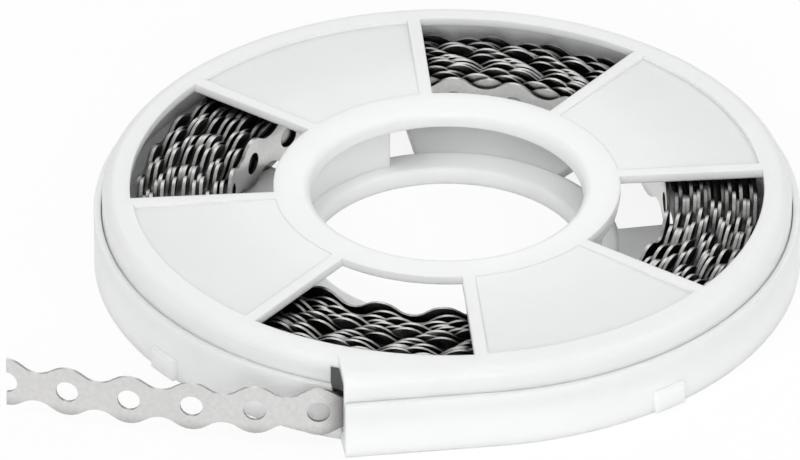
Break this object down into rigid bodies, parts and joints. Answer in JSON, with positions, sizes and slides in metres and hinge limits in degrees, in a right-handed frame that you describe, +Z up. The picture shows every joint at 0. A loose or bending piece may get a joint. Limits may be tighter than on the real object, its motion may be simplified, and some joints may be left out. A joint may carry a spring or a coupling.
{
  "type": "perforated steel strap in a dispenser",
  "caption": "Wavy-edged steel strap with a row of round holes, coiled in a flat round plastic dispenser with windows and a hub hole, its free end out of a side mouth.",
  "frame": {"origin": "on the hub axis at the underside that the dispenser stands on", "axes": "+Z up along the hub axis, -X along the straight wall towards the mouth where the strap comes out"},
  "size_m": [0.1868, 0.16, 0.0193],
  "materials": {
    "white_plastic": "semi-gloss",
    "strap_steel": "zinc-plated, satin"
  },
  "bodies": {
    "root": {"lower_shell": "white_plastic", "upper_shell": "white_plastic", "strap": "strap_steel"}
  },
  "joints": []
}
